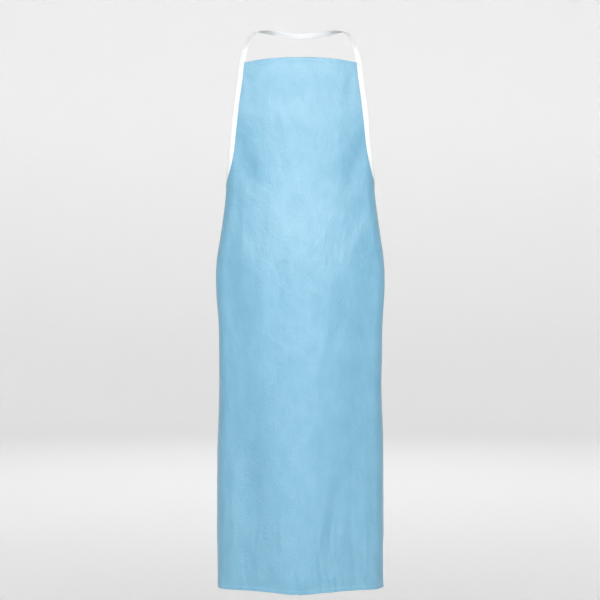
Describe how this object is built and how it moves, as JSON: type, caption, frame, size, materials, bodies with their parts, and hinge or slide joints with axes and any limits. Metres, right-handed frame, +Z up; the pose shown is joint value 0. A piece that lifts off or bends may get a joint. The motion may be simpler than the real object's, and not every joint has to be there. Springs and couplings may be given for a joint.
{
  "type": "butcher apron",
  "caption": "Long bib apron in its worn shape: one coated sheet, white tape binding on the armholes, neck loop and waist ties.",
  "frame": {"origin": "where the neck strap rests on the nape of the neck, on its inner face at the middle", "axes": "+Z up, the front of the apron faces -Y, +X to the viewer's right when the front is seen"},
  "size_m": [0.3806, 0.2513, 1.2757],
  "materials": {
    "sheet": "matt light blue coated cloth with fine creases",
    "tape": "white ribbed cotton tape",
    "sheet_thread": "light blue sewing thread",
    "tape_thread": "white sewing thread"
  },
  "bodies": {
    "neck_loop": {"neck_strap": "tape", "neck_strap_stitching": "tape_thread"},
    "apron": {"apron_panel": "sheet", "top_hem_stitching": "sheet_thread", "bottom_hem_stitching": "sheet_thread", "side_hem_stitching_left": "sheet_thread", "armhole_binding_left": "tape", "armhole_stitching_left": "tape_thread", "bib_bar_tack_left": "tape_thread", "waist_bar_tack_left": "tape_thread", "side_hem_stitching_right": "sheet_thread", "armhole_binding_right": "tape", "armhole_stitching_right": "tape_thread", "bib_bar_tack_right": "tape_thread", "waist_bar_tack_right": "tape_thread"},
    "tie_left": {"waist_tie_left": "tape", "waist_tie_stitching_left": "tape_thread"},
    "tie_right": {"waist_tie_right": "tape", "waist_tie_stitching_right": "tape_thread"}
  },
  "joints": [
    {"name": "bib_swing", "type": "hinge", "parent": "neck_loop", "child": "apron", "pos_m": [0, -0.1454, -0.0785], "axis": [-1, 0, 0], "range_deg": [-25, 60]},
    {"name": "waist_tie_swing_left", "type": "hinge", "parent": "apron", "child": "tie_left", "pos_m": [-0.1178, 0.0504, -0.3932], "axis": [0.8274, -0.5616, 0], "range_deg": [0, 110]},
    {"name": "waist_tie_swing_right", "type": "hinge", "parent": "apron", "child": "tie_right", "pos_m": [0.1178, 0.0504, -0.3932], "axis": [0.8274, 0.5616, 0], "range_deg": [0, 92]}
  ]
}
